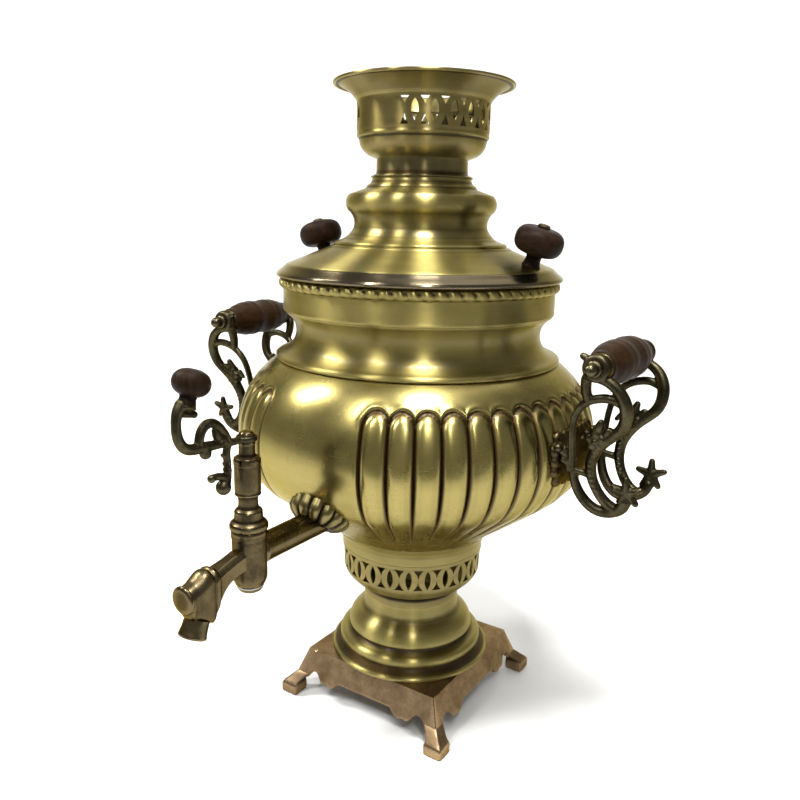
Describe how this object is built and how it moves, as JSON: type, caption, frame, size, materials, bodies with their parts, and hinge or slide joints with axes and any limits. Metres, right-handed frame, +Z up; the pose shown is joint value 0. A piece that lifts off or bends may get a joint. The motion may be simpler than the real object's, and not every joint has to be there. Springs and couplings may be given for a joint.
{
  "type": "samovar",
  "caption": "Charcoal samovar: gadrooned brass tank round a fire tube, on a footed square base, with tap, handles, lift-off lid and crown.",
  "frame": {"origin": "on the tank's vertical axis, in the plane of the feet's undersides", "axes": "+Z up along the tank's axis; the tap points along -Y, the handles lie along +X and -X"},
  "size_m": [0.3984, 0.3869, 0.4914],
  "materials": {
    "brass": "satin brushed, aged",
    "dark_brass": "browned, satin",
    "cast_brass": "cast, dark patina",
    "wood": "satin varnish",
    "steel": "plain",
    "iron": "rough"
  },
  "bodies": {
    "tank": {"base_casting": "dark_brass", "base_studs": "steel", "pedestal": "brass", "vent_gallery": "brass", "foot_collar": "brass", "belly_shell": "brass", "collar_shell": "brass", "bead_trim": "brass", "tank_bottom": "brass", "fire_tube": "dark_brass", "grate": "iron", "handle_boss_right": "cast_brass", "bracket_front_right": "cast_brass", "bracket_rear_right": "cast_brass", "grip_right": "wood", "grip_ferrules_right": "cast_brass", "grip_rod_right": "steel", "grip_nuts_right": "cast_brass", "handle_boss_left": "cast_brass", "bracket_front_left": "cast_brass", "bracket_rear_left": "cast_brass", "grip_left": "wood", "grip_ferrules_left": "cast_brass", "grip_rod_left": "steel", "grip_nuts_left": "cast_brass", "tap_rosette": "brass", "tap_body": "dark_brass", "tap_outlet_plug": "dark_brass", "tap_nozzle": "dark_brass"},
    "tap_key": {"key_plug": "dark_brass", "key_washer": "steel", "key_end_nut": "dark_brass", "key_scroll": "cast_brass", "key_knob": "wood", "key_finial": "dark_brass"},
    "lid": {"lid_plate": "brass", "lid_bell": "brass", "knob_right": "wood", "knob_left": "wood", "knob_screws": "steel", "lid_nuts": "steel"},
    "crown": {"crown_neck": "dark_brass", "crown_bowl": "brass", "crown_gallery": "brass", "crown_rim": "brass"}
  },
  "joints": [
    {"name": "tap_key_turn", "type": "hinge", "parent": "tank", "child": "tap_key", "pos_m": [0, -0.191, 0.189], "axis": [0, 0, 1], "continuous": true},
    {"name": "lid_lift", "type": "slide", "parent": "tank", "child": "lid", "axis": [0, 0, 1], "range_m": [0, 0.11]},
    {"name": "crown_lift", "type": "slide", "parent": "lid", "child": "crown", "axis": [0, 0, 1], "range_m": [0, 0.05]}
  ]
}
